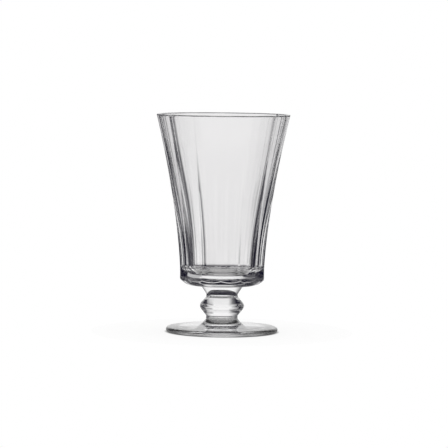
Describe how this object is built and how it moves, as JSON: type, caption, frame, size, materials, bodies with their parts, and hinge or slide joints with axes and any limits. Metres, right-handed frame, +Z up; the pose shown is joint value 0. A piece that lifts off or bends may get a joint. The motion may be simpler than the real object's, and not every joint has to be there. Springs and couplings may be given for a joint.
{
  "type": "footed glass",
  "caption": "Clear pressed drinking glass with a flat-panelled bowl that flares to the rim, a short stem with one rounded knop, and a round foot.",
  "frame": {"origin": "centre of the plane that the foot rests on", "axes": "+Z up along the glass's axis, from the foot to the rim; a corner between two panels points along +Y and along -Y"},
  "size_m": [0.0916, 0.0938, 0.15],
  "materials": {
    "bowl_glass": "clear fire-polished pressed glass with flat outer panels",
    "stem_glass": "clear fire-polished pressed glass, solid",
    "foot_glass": "clear fire-polished pressed glass with a rounded edge"
  },
  "bodies": {
    "root": {"bowl": "bowl_glass", "stem": "stem_glass", "foot": "foot_glass"}
  },
  "joints": []
}
